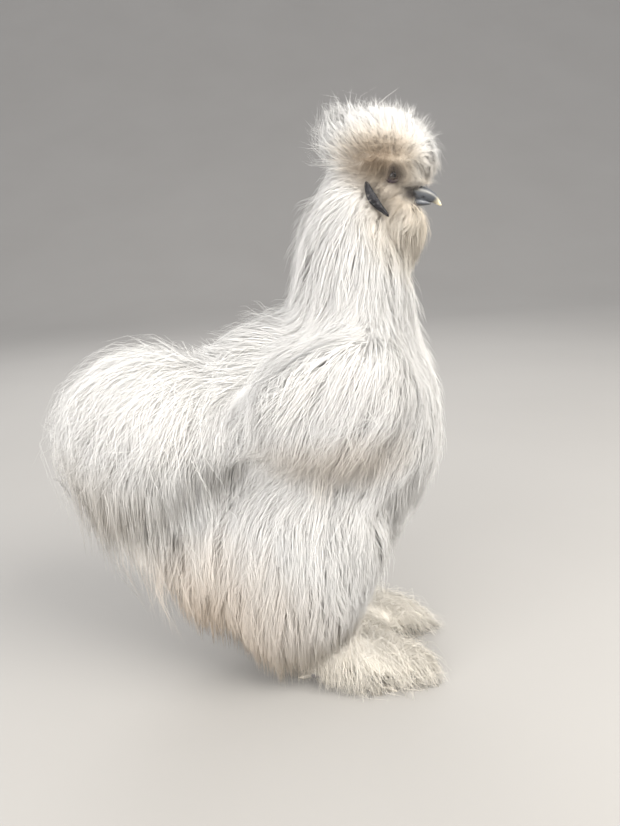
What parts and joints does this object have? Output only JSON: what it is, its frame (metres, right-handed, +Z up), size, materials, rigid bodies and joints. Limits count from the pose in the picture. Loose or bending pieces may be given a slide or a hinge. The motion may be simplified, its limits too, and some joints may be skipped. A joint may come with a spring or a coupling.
{
  "type": "silkie chicken",
  "caption": "White bearded silkie hen standing still, life size: round crest, dark face, full beard, cushion tail, feathered legs and five-toed feet",
  "frame": {"origin": "on the floor, under the middle of the bird's box", "axes": "+X the way the bird faces, +Y its left side, +Z up"},
  "size_m": [0.2658, 0.1688, 0.383],
  "materials": {
    "body_plumage": "matte",
    "loose_plumage": "matte",
    "feathered_foot": "matte",
    "claw_horn": "satin",
    "beak_horn": "satin",
    "eye": "gloss",
    "bare_skin": "satin"
  },
  "bodies": {
    "root": {"crest": "loose_plumage", "beard": "loose_plumage", "wing_right": "loose_plumage", "wing_left": "loose_plumage", "tail": "loose_plumage", "thigh_right": "loose_plumage", "thigh_left": "loose_plumage", "abdomen": "loose_plumage", "trunk": "body_plumage", "neck": "body_plumage", "head": "body_plumage", "foot_right": "feathered_foot", "foot_left": "feathered_foot", "claw_right_1": "claw_horn", "claw_right_2": "claw_horn", "claw_right_3": "claw_horn", "claw_right_4": "claw_horn", "claw_right_5": "claw_horn", "claw_left_1": "claw_horn", "claw_left_2": "claw_horn", "claw_left_3": "claw_horn", "claw_left_4": "claw_horn", "claw_left_5": "claw_horn", "beak_upper": "beak_horn", "beak_lower": "beak_horn", "eye_right": "eye", "eye_left": "eye", "comb": "bare_skin", "earlobe_right": "bare_skin", "earlobe_left": "bare_skin", "wattle_right": "bare_skin", "wattle_left": "bare_skin"}
  },
  "joints": []
}
